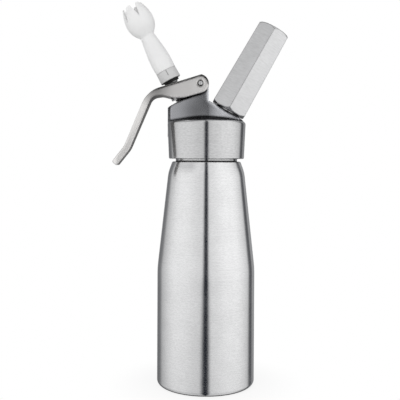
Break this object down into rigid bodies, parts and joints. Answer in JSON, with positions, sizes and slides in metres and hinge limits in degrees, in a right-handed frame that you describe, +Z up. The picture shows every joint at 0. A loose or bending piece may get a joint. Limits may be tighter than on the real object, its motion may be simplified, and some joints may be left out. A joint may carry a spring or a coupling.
{
  "type": "cream whipper",
  "caption": "Hand-held gas cream whipper: a brushed metal bottle with a screw-on head, a dispensing lever, a tulip nozzle and a hexagonal gas charger holder.",
  "frame": {"origin": "centre of the bottle's flat base, on the surface that it stands on", "axes": "+Z up along the bottle, -X towards the lever's grip and the nozzle, +X towards the charger holder, -Y towards the side that the picture shows"},
  "size_m": [0.1385, 0.0774, 0.3038],
  "materials": {
    "bottle": "brushed around",
    "head": "brushed",
    "lever": "satin",
    "charger_holder": "brushed lengthwise",
    "pins": "polished",
    "stem": "turned",
    "springs": "drawn wire",
    "seals": "matt",
    "nozzle_collar": "satin",
    "nozzle_tip": "satin",
    "brass": "turned",
    "charger": "plated"
  },
  "bodies": {
    "bottle": {"bottle": "bottle"},
    "head_gasket": {"head_gasket": "seals"},
    "head": {"head": "head", "lever_pin": "pins", "valve_guide": "brass", "stem_seal": "seals", "valve_spring": "springs", "charger_stub": "stem", "stub_washer": "seals", "piercing_pin": "pins", "charger_seal": "seals", "check_spring": "springs", "check_plug": "brass"},
    "lever": {"lever": "lever"},
    "valve": {"valve_stem": "stem", "valve_plug": "stem", "valve_seal": "seals"},
    "nozzle_seal": {"nozzle_seal": "seals"},
    "nozzle": {"nozzle_collar": "nozzle_collar", "nozzle_tip": "nozzle_tip"},
    "gas_charger": {"gas_charger": "charger"},
    "charger_holder": {"charger_holder": "charger_holder"},
    "check_ball": {"check_ball": "pins"}
  },
  "joints": [
    {"name": "head_lift", "type": "slide", "parent": "bottle", "child": "head_gasket", "axis": [0, 0, 1], "range_m": [0, 0.02]},
    {"name": "head_turn", "type": "hinge", "parent": "head_gasket", "child": "head", "pos_m": [0, 0, 0.1946], "axis": [0, 0, 1], "range_deg": [0, 1800]},
    {"name": "lever_press", "type": "hinge", "parent": "head", "child": "lever", "pos_m": [-0.005, 0, 0.2385], "axis": [0, -1, 0], "range_deg": [0, 6.5], "stiffness_Nm_per_rad": 1.2, "springref_deg": -6.88},
    {"name": "valve_travel", "type": "slide", "parent": "head", "child": "valve", "axis": [0.4756, 0, -0.8796], "range_m": [0, 0.00222], "deforming": ["valve_spring"]},
    {"name": "nozzle_lift", "type": "slide", "parent": "valve", "child": "nozzle_seal", "axis": [-0.4756, 0, 0.8796], "range_m": [0, 0.008]},
    {"name": "nozzle_turn", "type": "hinge", "parent": "nozzle_seal", "child": "nozzle", "pos_m": [-0.02, 0, 0.2258], "axis": [-0.4756, 0, 0.8796], "range_deg": [0, 1800]},
    {"name": "charger_lift", "type": "slide", "parent": "head", "child": "gas_charger", "axis": [0.4909, 0, 0.8712], "range_m": [0, 0.0128]},
    {"name": "holder_turn", "type": "hinge", "parent": "gas_charger", "child": "charger_holder", "pos_m": [0.0163, 0, 0.21675], "axis": [0.4909, 0, 0.8712], "range_deg": [0, 2880]},
    {"name": "check_ball_drop", "type": "slide", "parent": "head", "child": "check_ball", "axis": [0, 0, -1], "range_m": [0, 0.001], "stiffness_N_per_m": 30, "springref_m": -0.002, "deforming": ["check_spring"]}
  ],
  "couplings": [
    {"joint": "head_turn", "follows": "head_lift", "rad_per_m": 1570.8},
    {"joint": "valve_travel", "follows": "lever_press", "m_per_rad": 0.019549},
    {"joint": "nozzle_turn", "follows": "nozzle_lift", "rad_per_m": 3927},
    {"joint": "holder_turn", "follows": "charger_lift", "rad_per_m": 3927}
  ]
}
